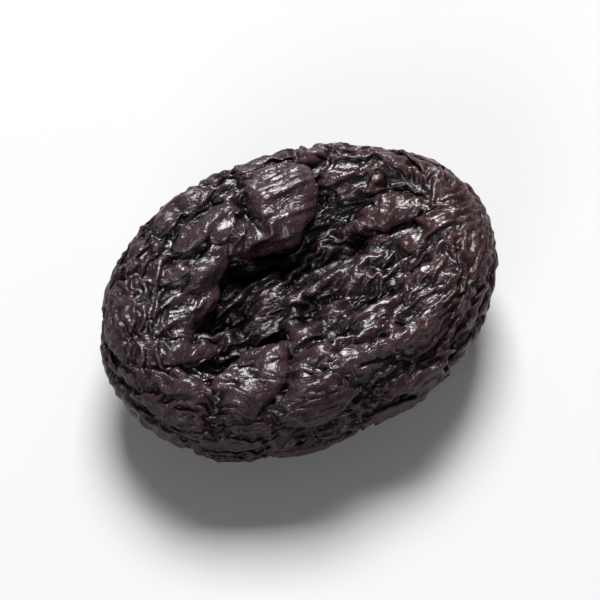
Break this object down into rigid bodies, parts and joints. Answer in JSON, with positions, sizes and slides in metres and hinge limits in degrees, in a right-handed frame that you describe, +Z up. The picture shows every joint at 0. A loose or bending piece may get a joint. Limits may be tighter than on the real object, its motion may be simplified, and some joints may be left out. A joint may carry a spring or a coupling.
{
  "type": "prune",
  "caption": "Dried plum without its stone: a flattened oval with a sunken, deeply creased top and wrinkled dark glossy skin, lying on its broad side.",
  "frame": {"origin": "on the surface the prune rests on, under the middle of its bounding box", "axes": "+Z up out of the sunken side, +X along the longest side"},
  "size_m": [0.038, 0.0274, 0.0165],
  "materials": {
    "skin": "glossy wrinkled skin, black-brown"
  },
  "bodies": {
    "root": {"prune": "skin"}
  },
  "joints": []
}
